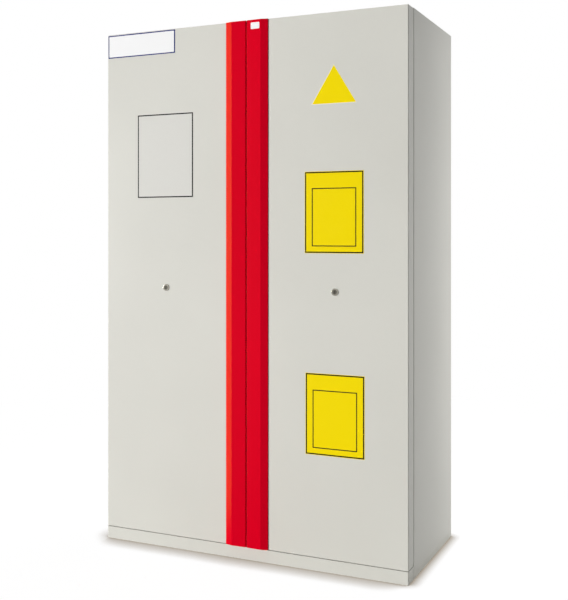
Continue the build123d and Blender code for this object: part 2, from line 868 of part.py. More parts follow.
tray("sump_tray", -room_mid_x, floor_top_z, sump_height, shelf_gauge)
for level, seat_z in zip(("lower", "upper"), shelf_seats):
    tray(f"shelf_{level}", -room_mid_x, seat_z + clip_gauge, shelf_height, shelf_gauge)
tray("base_tray_lower", room_mid_x, floor_top_z, plastic_tray_height, plastic_tray_wall)
tray("base_tray_upper", room_mid_x, lower_seat + clip_gauge, plastic_tray_height, plastic_tray_wall)
tray("acid_tray_lower", room_mid_x, divider_top_z, plastic_tray_height, plastic_tray_wall)
tray("acid_tray_upper", room_mid_x, upper_seat + clip_gauge, plastic_tray_height, plastic_tray_wall)

insert_z = floor_top_z + shelf_gauge
insert_shrink = shelf_gauge + insert_gap
with BuildPart() as sump_insert:
    tray_solid(-room_mid_x, insert_z, insert_shrink, insert_height)
    inner_shrink = insert_shrink + shelf_gauge
    tray_solid(-room_mid_x, insert_z, inner_shrink, insert_height - shelf_gauge, Mode.SUBTRACT)
    with BuildSketch(Plane.XY.offset(insert_z)):
        with Locations((-room_mid_x, tray_mid_y)):
            hole_step_x = tray_width / insert_holes_across
            hole_step_y = tray_depth / insert_holes_deep
            with GridLocations(hole_step_x, hole_step_y, insert_holes_across, insert_holes_deep):
                Circle(insert_hole_radius)
    extrude(amount=insert_height, mode=Mode.SUBTRACT)
save(sump_insert, "sump_insert")
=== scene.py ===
# %% [markdown]
# # Dressing a two-door safety cabinet
# The cabinet arrives as a finished frame of steel, board and plastic pieces, already at their real
# places, in metres, with X to the right, the doors facing -Y and Z up. They could be modelled again
# here, but taking the frame as it is keeps every piece at its true size. This lesson gives each
# piece its finish, adds plates and small fasteners, and sets up a plain studio round the cabinet.

# %% Load the frame
import json
import math

import bmesh
import bpy
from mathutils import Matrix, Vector


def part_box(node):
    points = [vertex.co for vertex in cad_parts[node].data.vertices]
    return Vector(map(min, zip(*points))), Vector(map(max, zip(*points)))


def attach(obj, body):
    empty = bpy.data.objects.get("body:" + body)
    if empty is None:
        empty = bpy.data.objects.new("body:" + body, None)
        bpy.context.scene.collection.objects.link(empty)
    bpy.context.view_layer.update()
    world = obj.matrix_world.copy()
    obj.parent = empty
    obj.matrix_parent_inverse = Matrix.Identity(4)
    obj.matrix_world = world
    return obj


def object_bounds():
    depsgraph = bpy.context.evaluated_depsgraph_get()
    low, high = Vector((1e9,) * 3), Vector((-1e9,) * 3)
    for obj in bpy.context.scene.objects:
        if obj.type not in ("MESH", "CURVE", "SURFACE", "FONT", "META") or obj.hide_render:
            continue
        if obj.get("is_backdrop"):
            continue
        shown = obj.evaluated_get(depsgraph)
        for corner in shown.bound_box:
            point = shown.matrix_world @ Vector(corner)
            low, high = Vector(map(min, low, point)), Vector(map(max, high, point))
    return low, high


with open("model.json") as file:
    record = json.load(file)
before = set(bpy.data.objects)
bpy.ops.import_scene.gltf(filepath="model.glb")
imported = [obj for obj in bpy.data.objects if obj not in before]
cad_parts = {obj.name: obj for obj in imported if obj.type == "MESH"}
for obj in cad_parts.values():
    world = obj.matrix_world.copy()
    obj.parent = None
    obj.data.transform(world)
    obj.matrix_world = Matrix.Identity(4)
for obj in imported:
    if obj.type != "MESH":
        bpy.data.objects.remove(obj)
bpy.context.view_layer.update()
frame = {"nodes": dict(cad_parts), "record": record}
nodes = frame["nodes"]

# %% [markdown]
# Paint is easiest to judge as the 0 to 255 numbers that a picture viewer shows, but shaders work in
# linear light. Blender's colour picker converts by itself, and a script has to do it. A helper with
# the standard curve lets every colour below be written the way it looks.

# %% Colour helper
SCREEN_WHITE = 255
CURVE_START = 0.04045
START_SLOPE = 12.92
CURVE_OFFSET = 0.055
CURVE_POWER = 2.4


def linear_share(value):
    """One channel of a screen colour in linear light."""
    share = value / SCREEN_WHITE
    if share <= CURVE_START:
        return share / START_SLOPE
    return ((share + CURVE_OFFSET) / (1 + CURVE_OFFSET)) ** CURVE_POWER


def linear(red, green, blue):
    """A shader colour from screen values between 0 and 255."""
    return (linear_share(red), linear_share(green), linear_share(blue), 1.0)


print("a middle grey in linear light:", linear(128, 128, 128))

# %% [markdown]
# No real surface is even all over. An image texture could carry the small changes, but it needs a
# picture and an unwrapped mesh. Noise on Object coordinates needs neither: it stays fixed to the
# piece and comes out the same each time. Two helpers start a finish and give it its noise.

# %% A finish and its noise
SMOOTH = 2.0
PLAIN = 3.0
FINE = 4.0


def new_finish(name):
    """A material with its shader and its Object coordinates."""
    material = bpy.data.materials.new(name)
    material.use_nodes = True
    tree = material.node_tree
    shader = tree.nodes["Principled BSDF"]
    place = tree.nodes.new("ShaderNodeTexCoord").outputs["Object"]
    return material, tree, shader, place


def noise(tree, place, scale, detail, stretch=None):
    """Noise of so many cells to the metre, stretched along the axes if asked."""
    if stretch:
        mapping = tree.nodes.new("ShaderNodeMapping")
        mapping.inputs["Scale"].default_value = stretch
        tree.links.new(place, mapping.inputs["Vector"])
        place = mapping.outputs["Vector"]
    texture = tree.nodes.new("ShaderNodeTexNoise")
    texture.inputs["Scale"].default_value = scale
    texture.inputs["Detail"].default_value = detail
    tree.links.new(place, texture.inputs["Vector"])
    return texture.outputs["Fac"]


print("detail of smooth, plain and fine noise:", SMOOTH, PLAIN, FINE)

# %% [markdown]
# Paint, board and metal differ in three ways that noise can drive: the colour wanders, the gloss
# comes and goes, and the surface tilts. A ramp could set each of them, but noise keeps mostly near
# its middle, and a Map Range node stretches that middle over the whole span in one step. With these
# helpers a recipe shows only what is special about a finish.

# %% From noise to colour, gloss and tilt
NOISE_MIDDLE = (0.3, 0.7)


def spread_values(tree, factor, low, high):
    """Remap the middle of the noise to a span of values."""
    remap = tree.nodes.new("ShaderNodeMapRange")
    remap.inputs["From Min"].default_value = NOISE_MIDDLE[0]
    remap.inputs["From Max"].default_value = NOISE_MIDDLE[1]
    remap.inputs["To Min"].default_value = low
    remap.inputs["To Max"].default_value = high
    tree.links.new(factor, remap.inputs["Value"])
    return remap.outputs["Result"]


def tint(tree, shader, factor, colour, deeper):
    """Let the base colour wander between two colours."""
    mix = tree.nodes.new("ShaderNodeMix")
    mix.data_type = "RGBA"
    mix.inputs["A"].default_value = colour
    mix.inputs["B"].default_value = deeper
    tree.links.new(spread_values(tree, factor, 0.0, 1.0), mix.inputs["Factor"])
    tree.links.new(mix.outputs["Result"], shader.inputs["Base Color"])


def roughen(tree, shader, factor, rough):
    """Let the roughness wander between two values."""
    tree.links.new(spread_values(tree, factor, *rough), shader.inputs["Roughness"])


def bump(tree, shader, factor, depth, strength):
    """Tilt the surface by a height map of the given depth in metres."""
    node = tree.nodes.new("ShaderNodeBump")
    node.inputs["Distance"].default_value = depth
    node.inputs["Strength"].default_value = strength
    tree.links.new(factor, node.inputs["Height"])
    tree.links.new(node.outputs["Normal"], shader.inputs["Normal"])


print("the part of the noise that is used:", NOISE_MIDDLE)

# %% [markdown]
# The body and the doors are sheet steel with a baked powder coat. Close up it has the skin of an
# orange, with bumps two or three millimetres apart and a satin gloss. Real bumps would take millions
# of faces, so a bump node tilts the surface instead. Over half a metre or so the shade drifts by a
# hair, which keeps the big panels from looking like paper. The red handles have a smoother coat, and
# the shelves a cooler grey.

# %% Powder coat
MILLIMETRE = 0.001
PEEL_SCALE = 420
PEEL_DEPTH = 0.25 * MILLIMETRE
PEEL_STRENGTH = 0.35
DRIFT_SCALE = 1.6
SATIN_ROUGH = (0.36, 0.44)
SATIN_GLOSS = 0.15
HANDLE_ROUGH = (0.28, 0.36)
HANDLE_GLOSS = 0.008
WHITE = (1.0, 1.0, 1.0, 1.0)
WARM = (0.9, 0.9, 0.1, 1.0)


def powder_coat(name, colour, deeper, rough=SATIN_ROUGH, gloss=SATIN_GLOSS, sheen=WHITE):
    """Baked paint with the skin of an orange. The sheen is the tint of its reflections."""
    material, tree, shader, place = new_finish(name)
    tint(tree, shader, noise(tree, place, DRIFT_SCALE, SMOOTH), colour, deeper)
    skin = noise(tree, place, PEEL_SCALE, SMOOTH)
    roughen(tree, shader, skin, rough)
    bump(tree, shader, skin, PEEL_DEPTH, PEEL_STRENGTH)
    shader.inputs["Specular IOR Level"].default_value = gloss
    shader.inputs["Specular Tint"].default_value = sheen
    return material


grey_coat = powder_coat("grey_powder_coat", linear(219, 218, 210), linear(214, 213, 205))
red_coat = powder_coat(
    "red_powder_coat", linear(223, 1, 36), linear(217, 0, 33), HANDLE_ROUGH, HANDLE_GLOSS, WARM
)
shelf_coat = powder_coat("shelf_powder_coat", linear(206, 208, 207), linear(198, 200, 199))
print("powder coats:", grey_coat.name, red_coat.name, shelf_coat.name)

# %% [markdown]
# Inside, the walls are mineral board with a pale melamine face: smooth, with a faint speckle, and a
# gloss that changes over a hand's width. The cut edges could have a finish of their own, but they
# are covered with the same sheet, so one finish serves the whole board.

# %% Melamine board
SPECKLE_SCALE = 900
SPECKLE_DEPTH = 0.06 * MILLIMETRE
SPECKLE_STRENGTH = 0.2
BOARD_GLOSS_SCALE = 6
BOARD_ROUGH = (0.34, 0.46)


def melamine(name, colour, deeper):
    """A pale sheet with a fine speckle."""
    material, tree, shader, place = new_finish(name)
    speckle = noise(tree, place, SPECKLE_SCALE, FINE)
    tint(tree, shader, speckle, colour, deeper)
    roughen(tree, shader, noise(tree, place, BOARD_GLOSS_SCALE, SMOOTH), BOARD_ROUGH)
    bump(tree, shader, speckle, SPECKLE_DEPTH, SPECKLE_STRENGTH)
    return material


board_face = melamine("melamine_board", linear(232, 231, 226), linear(224, 222, 215))
print("board:", board_face.name)

# %% [markdown]
# Rods, rails, hinge pins and the base frame are zinc plated. Zinc is a bluish, slightly cloudy
# metal: patches that differ in shade, long faint grain, and no mirror. A wave texture could draw the
# grain, but its lines are too even. Noise that is stretched along Z gives streaks of all lengths.

# %% Zinc plate
PATCH_SCALE = 38
GRAIN_SCALE = 260
GRAIN_STRETCH = (1.0, 1.0, 0.06)
GRAIN_DEPTH = 0.08 * MILLIMETRE
GRAIN_STRENGTH = 0.25
ZINC_ROUGH = (0.26, 0.44)


def zinc_plate(name, colour, deeper):
    """A cloudy metal with long grain."""
    material, tree, shader, place = new_finish(name)
    tint(tree, shader, noise(tree, place, PATCH_SCALE, PLAIN), colour, deeper)
    grain = noise(tree, place, GRAIN_SCALE, FINE, GRAIN_STRETCH)
    roughen(tree, shader, grain, ZINC_ROUGH)
    bump(tree, shader, grain, GRAIN_DEPTH, GRAIN_STRENGTH)
    shader.inputs["Metallic"].default_value = 1.0
    return material


zinc = zinc_plate("zinc_plate", linear(196, 199, 203), linear(172, 176, 182))
print("metal:", zinc.name)

# %% [markdown]
# The locks are satin chrome with a trace of fine polishing marks. One chrome could serve the whole
# lock, but the plug that the key goes into is darker than the bush round it, so the recipe takes its
# two colours from the caller and is used twice.

# %% Chrome
POLISH_SCALE = 700
POLISH_DEPTH = 0.02 * MILLIMETRE
POLISH_STRENGTH = 0.1
CHROME_ROUGH = (0.12, 0.20)


def chrome_plate(name, colour, deeper):
    """A bright metal with fine polishing marks."""
    material, tree, shader, place = new_finish(name)
    polish = noise(tree, place, POLISH_SCALE, SMOOTH)
    tint(tree, shader, polish, colour, deeper)
    roughen(tree, shader, polish, CHROME_ROUGH)
    bump(tree, shader, polish, POLISH_DEPTH, POLISH_STRENGTH)
    shader.inputs["Metallic"].default_value = 1.0
    return material


chrome = chrome_plate("lock_chrome_plate", linear(168, 165, 154), linear(142, 139, 129))
darker_plug_chrome = chrome_plate("key_plug_chrome", linear(112, 109, 100), linear(86, 84, 77))
print("chrome:", chrome.name, darker_plug_chrome.name)

# %% [markdown]
# The door gaskets are black foam rubber, and the trays are grey plastic. Foam has open cells and a
# mould leaves an even texture, which could be two recipes, but both are fine, even grain that
# differs in size, depth and gloss. So one recipe with those three values makes both.

# %% Rubber and moulded plastic
MOULD_STRENGTH = 0.4
FOAM_SCALE = 700
FOAM_ROUGH = (0.75, 0.9)
FOAM_DEPTH = 0.3 * MILLIMETRE
TRAY_SCALE = 900
TRAY_ROUGH = (0.42, 0.55)
TRAY_DEPTH = 0.08 * MILLIMETRE


def moulded(name, colour, deeper, scale, rough, depth):
    """A fine, even grain."""
    material, tree, shader, place = new_finish(name)
    grain = noise(tree, place, scale, PLAIN)
    tint(tree, shader, grain, colour, deeper)
    roughen(tree, shader, grain, rough)
    bump(tree, shader, grain, depth, MOULD_STRENGTH)
    return material


gasket = moulded(
    "gasket_foam", linear(38, 38, 38), linear(28, 28, 29), FOAM_SCALE, FOAM_ROUGH, FOAM_DEPTH
)
tray_plastic = moulded(
    "tray_polypropylene", linear(174, 184, 192), linear(166, 176, 185),
    TRAY_SCALE, TRAY_ROUGH, TRAY_DEPTH,
)
print("moulded:", gasket.name, tray_plastic.name)

# %% [markdown]
# On the real cabinet a finish belongs to a group of pieces, and the record names such a group, a
# material slot, for each of them. Finishes could be given by hand, piece by piece, but a table from
# slot to finish and one loop miss none. The key plugs then get their darker chrome.

# %% Dress the frame
finish_of_slot = {
    "cabinet_paint": grey_coat,
    "handle_paint": red_coat,
    "lining_board": board_face,
    "lock_chrome": chrome,
    "zinc_steel": zinc,
    "shelf_paint": shelf_coat,
    "tray_plastic": tray_plastic,
    "seal_rubber": gasket,
}
slot_of_node = {part["node"]: part["material_slot"] for part in frame["record"]["subparts"]}
for name, piece in nodes.items():
    piece.data.materials.clear()
    piece.data.materials.append(finish_of_slot[slot_of_node[name]])
for name in ("key_plug_left", "key_plug_right"):
    nodes[name].data.materials[0] = darker_plug_chrome
print("dressed:", len(slot_of_node), "pieces in", len(finish_of_slot), "slots")

# %% [markdown]
# The doors carry thin plates and a sticker, of enamel or vinyl film. Each could have its own recipe,
# but all of them are smooth, with a gloss that wanders where they were pressed down and a grain too
# fine to see. So one recipe makes them all, and only the colour changes.

# %% Film and enamel
PRESS_SCALE = 60
PRESS_DEPTH = 0.15 * MILLIMETRE
PRESS_STRENGTH = 0.15
FILM_ROUGH = (0.28, 0.38)
FILM_GRAIN_SCALE = 1500
FILM_DEEPER = 0.96
FILM_GLOSS = 0.06


def film(name, colour):
    """A smooth film in one colour."""
    material, tree, shader, place = new_finish(name)
    press = noise(tree, place, PRESS_SCALE, SMOOTH)
    roughen(tree, shader, press, FILM_ROUGH)
    deeper = tuple(channel * FILM_DEEPER for channel in colour[:3]) + (1.0,)
    tint(tree, shader, noise(tree, place, FILM_GRAIN_SCALE, SMOOTH), colour, deeper)
    bump(tree, shader, press, PRESS_DEPTH, PRESS_STRENGTH)
    shader.inputs["Specular IOR Level"].default_value = FILM_GLOSS
    return material


white_film = film("white_film", linear(252, 252, 252))
blue_film = film("blue_rim_film", linear(28, 40, 118))
black_film = film("black_rim_film", linear(24, 22, 20))
yellow_film = film("yellow_film", linear(252, 226, 3))
clear_film = film("clear_card_film", linear(223, 222, 216))
print("films:", [each.name for each in (white_film, blue_film, black_film, yellow_film, clear_film)])

# %% [markdown]
# A plate on the door begins as a block. It could be built from a list of points, but a primitive is
# what one starts from by hand, and every step can be tried with the mouse. Operators act on all that
# is selected, and the frame arrives selected, so each start begins by deselecting. The place and
# size then move into the mesh, because a pattern on Object coordinates follows the object's origin.

# %% A block at its place
def settle(piece, name):
    """Name a piece and move its place, turn and scale into its mesh."""
    piece.name = name
    piece.data.name = name
    bpy.ops.object.transform_apply(location=True, rotation=True, scale=True)
    return piece


def add_block(name, low, high):
    """A box between two corners."""
    bpy.ops.object.select_all(action="DESELECT")
    centre = [(first + last) / 2 for first, last in zip(low, high)]
    bpy.ops.mesh.primitive_cube_add(size=1, location=centre)
    piece = bpy.context.object
    piece.scale = [last - first for first, last in zip(low, high)]
    return settle(piece, name)


door_face_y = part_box("door_skin_left")[0].y
print("the doors' face is at y =", round(door_face_y, 4))

# %% [markdown]
# To shape one face or edge of a plate, it has to be selected. By hand one clicks on it, and a script
# could use its number in the mesh, but numbers change with every step. A test on the place or the
# direction of each face or edge keeps finding the right ones.

# %% Choosing faces and edges
FACING = 0.9
ALONG = 0.99


def choose(piece, kind, test):
    """In edit mode, select the faces or edges that pass a test."""
    bpy.context.view_layer.objects.active = piece
    bpy.ops.object.mode_set(mode="EDIT")
    bpy.ops.mesh.select_mode(type=kind)
    bpy.ops.mesh.select_all(action="DESELECT")
    mesh = bmesh.from_edit_mesh(piece.data)
    mesh.normal_update()
    items = mesh.faces if kind == "FACE" else mesh.edges
    for item in items:
        item.select_set(test(item))
    bmesh.update_edit_mesh(piece.data)


def front_facing(face):
    return face.normal.y < -FACING


def along_y(edge):
    first, last = edge.verts
    return abs(first.co.y - last.co.y) > ALONG * edge.calc_length()


print("a face looks to the front if its normal's y is below", -FACING)

# %% [markdown]
# A plate has a rim in another colour. A mask in the material could paint it, but insetting the front
# face gives the rim as real faces, which take a colour each and stay sharp at any distance. The
# corners are rounded after the insets, because an inset wider than a round corner would fold over
# itself. A bevel modifier then takes the sharpness off the edges, and is applied.

# %% Rims, corners and edges
CORNER_STEPS = 4
EDGE_BREAK = 0.1 * MILLIMETRE


def colour_rings(piece, rings, ground):
    """Inset the front for each (width, material), from the edge inwards, and colour the middle."""
    for material in [material for _, material in rings] + [ground]:
        piece.data.materials.append(material)
    choose(piece, "FACE", front_facing)
    for index, (width, _) in enumerate(rings):
        bpy.ops.mesh.inset(thickness=width)
        piece.active_material_index = index + 1
        bpy.ops.object.material_slot_assign()


def round_corners(piece, radius):
    choose(piece, "EDGE", along_y)
    bpy.ops.mesh.bevel(offset=radius, segments=CORNER_STEPS, affect="EDGES")
    bpy.ops.object.mode_set(mode="OBJECT")


def break_edges(piece):
    bpy.ops.object.modifier_add(type="BEVEL")
    modifier = piece.modifiers[-1]
    modifier.width = EDGE_BREAK
    modifier.segments = 1
    modifier.limit_method = "ANGLE"
    bpy.ops.object.modifier_apply(modifier=modifier.name)


print("edges are broken by", EDGE_BREAK, "m")

# %% [markdown]
# Four flat plates sit on the doors: white enamel with a blue rim in the top corner, a clear card
# with a black rim below it, and two yellow ones on the other door, whose black rim is set in from a
# hair of yellow edge.

# %% Plates on the doors
PLATE_CORNER = 1.0 * MILLIMETRE
PLATE_THICK = 0.8 * MILLIMETRE
FILM_THICK = 0.4 * MILLIMETRE
HAIR = 1.5 * MILLIMETRE
BLUE_RIM = 4.0 * MILLIMETRE
BLACK_RIM = 4.5 * MILLIMETRE
CORNER_PLATE_SPAN = ((-0.5965, -0.300), (1.857, 1.9445))
CARD_SPAN = ((-0.463, -0.223), (1.315, 1.630))
UPPER_SPAN = ((0.225, 0.443), (1.110, 1.396))
LOWER_SPAN = ((0.228, 0.446), (0.405, 0.691))
blue_rings = [(BLUE_RIM, blue_film)]
black_rings = [(BLACK_RIM, black_film)]
yellow_rings = [(HAIR, yellow_film), (BLACK_RIM, black_film)]


def dress(piece, body, material=None):
    """Finish a piece: its material and the body it rides on."""
    bpy.ops.object.mode_set(mode="OBJECT")
    if material:
        piece.data.materials.append(material)
    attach(piece, body)
    return piece


def plate(name, span, thickness, rings, ground, body):
    """A plate on a door's face, between two places across and two heights."""
    (left, right), (foot, top) = span
    low = (left, door_face_y - thickness, foot)
    high = (right, door_face_y, top)
    piece = add_block(name, low, high)
    colour_rings(piece, rings, ground)
    round_corners(piece, PLATE_CORNER)
    break_edges(piece)
    return dress(piece, body)


corner_plate = plate(
    "corner_plate", CORNER_PLATE_SPAN, PLATE_THICK, blue_rings, white_film, "door_left"
)
card = plate("clear_card", CARD_SPAN, FILM_THICK, black_rings, clear_film, "door_left")
yellow_plates = [
    plate(name, span, FILM_THICK, yellow_rings, yellow_film, "door_right")
    for name, span in (("yellow_plate_upper", UPPER_SPAN), ("yellow_plate_lower", LOWER_SPAN))
]
print("plates:", corner_plate.name, card.name, [piece.name for piece in yellow_plates])

# %% [markdown]
# Each yellow plate also has a thin black line inside its rim. Two more insets of the plate could
# make it, but its margins differ from side to side, and an inset is as wide all round. So it is a
# thin block of its own. Its front and back are inset, and bridging the two inner faces opens a
# window, which leaves a ring that stands two tenths of a millimetre proud, like thick ink.

# %% Line frames
LINE_PROUD = 0.2 * MILLIMETRE
LINE_WIDTH = 3.5 * MILLIMETRE
SIDE_MARGIN = 27 * MILLIMETRE
TOP_MARGIN = 58 * MILLIMETRE
FOOT_MARGIN = 24 * MILLIMETRE


def reach(piece):
    """The lowest and highest corner of a piece that sits at the origin."""
    spans = [[vertex.co[axis] for vertex in piece.data.vertices] for axis in range(3)]
    return Vector([min(span) for span in spans]), Vector([max(span) for span in spans])


def line_frame(carrier, body):
    """A rectangular line on the plate that carries it."""
    low, high = reach(carrier)
    block_low = (low.x + SIDE_MARGIN, low.y - LINE_PROUD, low.z + FOOT_MARGIN)
    block_high = (high.x - SIDE_MARGIN, low.y, high.z - TOP_MARGIN)
    piece = add_block(carrier.name + "_line", block_low, block_high)
    choose(piece, "FACE", lambda face: abs(face.normal.y) > FACING)
    bpy.ops.mesh.inset(thickness=LINE_WIDTH)
    bpy.ops.mesh.bridge_edge_loops()
    return dress(piece, body, black_film)


frames = [line_frame(carrier, "door_right") for carrier in yellow_plates]
print("line frames:", [piece.name for piece in frames])

# %% [markdown]
# Above them is a triangular plate of plain yellow film with a hair of white edge. A block could lose
# one of its edges, but a cylinder with three sides is a triangle from the start. A quarter turn
# about X points its axis along Y and its first corner up. The scale gives it its base and height.

# %% Triangular plate
TRIANGLE_BASE = 0.166
TRIANGLE_HEIGHT = 0.136
TRIANGLE_FOOT = (0.334, 1.630)
TRIANGLE_EDGE = 1.0 * MILLIMETRE
UNIT_BASE = 2 * math.sin(math.radians(120))
UNIT_HEIGHT = 1.5
QUARTER = math.radians(90)

bpy.ops.object.select_all(action="DESELECT")
bpy.ops.mesh.primitive_cylinder_add(
    vertices=3,
    radius=1,
    depth=FILM_THICK,
    location=(TRIANGLE_FOOT[0], door_face_y - FILM_THICK / 2, TRIANGLE_FOOT[1] + TRIANGLE_HEIGHT / 3),
    rotation=(QUARTER, 0, 0),
)
triangle = bpy.context.object
triangle.scale = (TRIANGLE_BASE / UNIT_BASE, TRIANGLE_HEIGHT / UNIT_HEIGHT, 1)
settle(triangle, "triangle_plate")
colour_rings(triangle, [(TRIANGLE_EDGE, white_film)], yellow_film)
round_corners(triangle, PLATE_CORNER)
break_edges(triangle)
dress(triangle, "door_right")
print("triangle:", *(tuple(round(value, 4) for value in corner) for corner in reach(triangle)))

# %% [markdown]
# A small white sticker sits near the top of one handle. It could lie level with the door, but the
# handle's flat dips from its ridge towards the seam by a degree or two, and one end of the sticker
# would stand off. So it is laid level on the ridge and then turned about it. The angle is measured
# on the handle itself, between its ridge and its edge at the seam.

# %% Handle sticker
STICKER_X = (0.0188, 0.0536)
STICKER_DROP = 10 * MILLIMETRE
STICKER_HEIGHT = 23.5 * MILLIMETRE
STICKER_PROUD = 0.2 * MILLIMETRE
STICKER_DEPTH = 0.4 * MILLIMETRE
STICKER_CORNER = 3 * MILLIMETRE
SEAM_EDGE = 8 * MILLIMETRE
handle_low, handle_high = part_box("handle_right")
handle_corners = [vertex.co for vertex in nodes["handle_right"].data.vertices]
seam_corners = [corner for corner in handle_corners if corner.x < handle_low.x + SEAM_EDGE]
ridge = min(handle_corners, key=lambda corner: corner.y)
seam_edge = min(seam_corners, key=lambda corner: corner.y)
flat_dip = math.atan2(seam_edge.y - ridge.y, ridge.x - seam_edge.x)

sticker_top = handle_high.z - STICKER_DROP
sticker_front = ridge.y - STICKER_PROUD
sticker = add_block(
    "handle_sticker",
    (STICKER_X[0], sticker_front, sticker_top - STICKER_HEIGHT),
    (STICKER_X[1], sticker_front + STICKER_DEPTH, sticker_top),
)
round_corners(sticker, STICKER_CORNER)
bpy.context.scene.cursor.location = ridge
bpy.ops.object.origin_set(type="ORIGIN_CURSOR")
sticker.rotation_euler = (0, 0, -flat_dip)
settle(sticker, "handle_sticker")
dress(sticker, "door_right", white_film)
print("sticker turned by", round(math.degrees(flat_dip), 2), "degrees")

# %% [markdown]
# Small fasteners show how a cabinet is put together. Each could be modelled where it sits, but they
# are all alike, so one rivet head is made at unit size, facing -Y: a cylinder with twelve sides and
# a bevelled rim. A copy with its face inset and pushed in for the driver is the screw head.

# %% One rivet head and one screw head
HEAD_SIDES = 12
RIM_BEVEL = 0.3
SOCKET_RIM = 0.3
SOCKET_DEPTH = 0.55
FRONT_END = -0.999


def at_front(item):
    """Faces or edges on the front end of a head, at y = -1."""
    return all(vertex.co.y < FRONT_END for vertex in item.verts)


bpy.ops.object.select_all(action="DESELECT")
bpy.ops.mesh.primitive_cylinder_add(
    vertices=HEAD_SIDES, radius=1, depth=1, location=(0, -0.5, 0), rotation=(QUARTER, 0, 0)
)
rivet_head = settle(bpy.context.object, "rivet_head")
choose(rivet_head, "EDGE", at_front)
bpy.ops.mesh.bevel(offset=RIM_BEVEL, segments=1, affect="EDGES")
bpy.ops.object.mode_set(mode="OBJECT")

bpy.ops.object.duplicate()
screw_head = settle(bpy.context.object, "screw_head")
choose(screw_head, "FACE", at_front)
bpy.ops.mesh.inset(thickness=SOCKET_RIM)
bpy.ops.mesh.extrude_region_move(TRANSFORM_OT_translate={"value": (0, SOCKET_DEPTH, 0)})
bpy.ops.object.mode_set(mode="OBJECT")
print("faces of a rivet and a screw:", len(rivet_head.data.polygons), len(screw_head.data.polygons))

# %% [markdown]
# A row of screws holds one sheet to the next. An array modifier could repeat a head, but only in
# even steps and facing one way. A list of seats, each a place and the way the head faces there, fits
# every row. The heads of a row are joined, so that they ride on one body as one piece.

# %% Fastener rows
TURN = {
    "-Y": (0, 0, 0),
    "+Y": (0, 0, 2 * QUARTER),
    "+Z": (-QUARTER, 0, 0),
    "+X": (0, 0, QUARTER),
    "-X": (0, 0, -QUARTER),
}


def spread(low, high, count):
    """Evenly spaced values, both ends included."""
    return [low + (high - low) * index / (count - 1) for index in range(count)]


def fasten(name, head, radius, proud, seats, body):
    """Copies of a head on their seats, each with its own mesh, joined into one zinc plated piece."""
    bpy.ops.object.select_all(action="DESELECT")
    for place, facing in seats:
        copy = head.copy()
        copy.data = head.data.copy()
        bpy.context.scene.collection.objects.link(copy)
        copy.scale = (radius, proud, radius)
        copy.rotation_euler = TURN[facing]
        copy.location = place
        copy.select_set(True)
    bpy.context.view_layer.objects.active = copy
    if len(seats) > 1:
        bpy.ops.object.join()
    settle(copy, name)
    return dress(copy, body, zinc)


print("ways a head can face:", list(TURN))

# %% [markdown]
# The hinge leaves are held by countersunk screws that stand only a hair above the leaf, because the
# two leaves close face to face. The inner panel of each door is riveted along its free edge, foot
# and head, outside the gasket. The left row could be mirrored from the right one, but a mirrored
# mesh turns inside out. A sign on x does the same with nothing to mend.

# %% Hinge screws and panel rivets
SCREW_RADIUS = 4.5 * MILLIMETRE
HINGE_PROUD = 0.3 * MILLIMETRE
HINGE_SCREW_X = 0.581
HINGE_SCREWS = 13
HINGE_END = 0.04
BODY_LEAF_FACE = -0.2272
DOOR_LEAF_FACE = -0.2288
RIVET_RADIUS = 2.5 * MILLIMETRE
RIVET_PROUD = 0.8 * MILLIMETRE
PANEL_FACE = -0.230
FREE_EDGE_X = 0.0075
FREE_EDGE_SPAN = (0.10, 1.895)
FREE_EDGE_RIVETS = 13
END_SPAN = (0.05, 0.54)
END_RIVETS = 5
END_HEIGHTS = (0.066, 1.930)
hinge_low, hinge_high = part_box("hinge_leaf_body_left")
hinge_heights = spread(hinge_low.z + HINGE_END, hinge_high.z - HINGE_END, HINGE_SCREWS)
panel_places = [(FREE_EDGE_X, z) for z in spread(*FREE_EDGE_SPAN, FREE_EDGE_RIVETS)]
panel_places += [(x, z) for x in spread(*END_SPAN, END_RIVETS) for z in END_HEIGHTS]

rows = []
for side, sign in (("left", -1), ("right", 1)):
    door = "door_" + side
    hinge_x = sign * HINGE_SCREW_X
    body_seats = [((hinge_x, BODY_LEAF_FACE, z), "-Y") for z in hinge_heights]
    door_seats = [((hinge_x, DOOR_LEAF_FACE, z), "+Y") for z in hinge_heights]
    panel_seats = [((sign * x, PANEL_FACE, z), "+Y") for x, z in panel_places]
    rows += [
        fasten("hinge_screws_body_" + side, screw_head, SCREW_RADIUS, HINGE_PROUD, body_seats, "root"),
        fasten("hinge_screws_door_" + side, screw_head, SCREW_RADIUS, HINGE_PROUD, door_seats, door),
        fasten("panel_rivets_" + side, rivet_head, RIVET_RADIUS, RIVET_PROUD, panel_seats, door),
    ]
print("hinge and panel rows:", [piece.name for piece in rows])

# %% [markdown]
# Each shelf rail is held by a screw near both ends. The places could be typed in, but the rails are
# one node with a loose part for each rail, and the box of a loose part gives its seats: on the face
# that looks into the room, clear of the slots for the shelf clips.

# %% Rail screws
RAIL_END = 0.025
RAIL_PROUD = 1.5 * MILLIMETRE
WALL_MIDDLE = 0.29
MERGE_DISTANCE = 1e-6


def loose_boxes(piece):
    """The lowest and highest corner of each loose part of a mesh."""
    mesh = bmesh.new()
    mesh.from_mesh(piece.data)
    bmesh.ops.remove_doubles(mesh, verts=mesh.verts, dist=MERGE_DISTANCE)
    waiting = set(mesh.verts)
    boxes = []
    while waiting:
        part = [waiting.pop()]
        for vertex in part:
            near = {edge.other_vert(vertex) for edge in vertex.link_edges} & waiting
            waiting -= near
            part.extend(near)
        spans = [[vertex.co[axis] for vertex in part] for axis in range(3)]
        boxes.append((Vector([min(span) for span in spans]), Vector([max(span) for span in spans])))
    mesh.free()
    return boxes


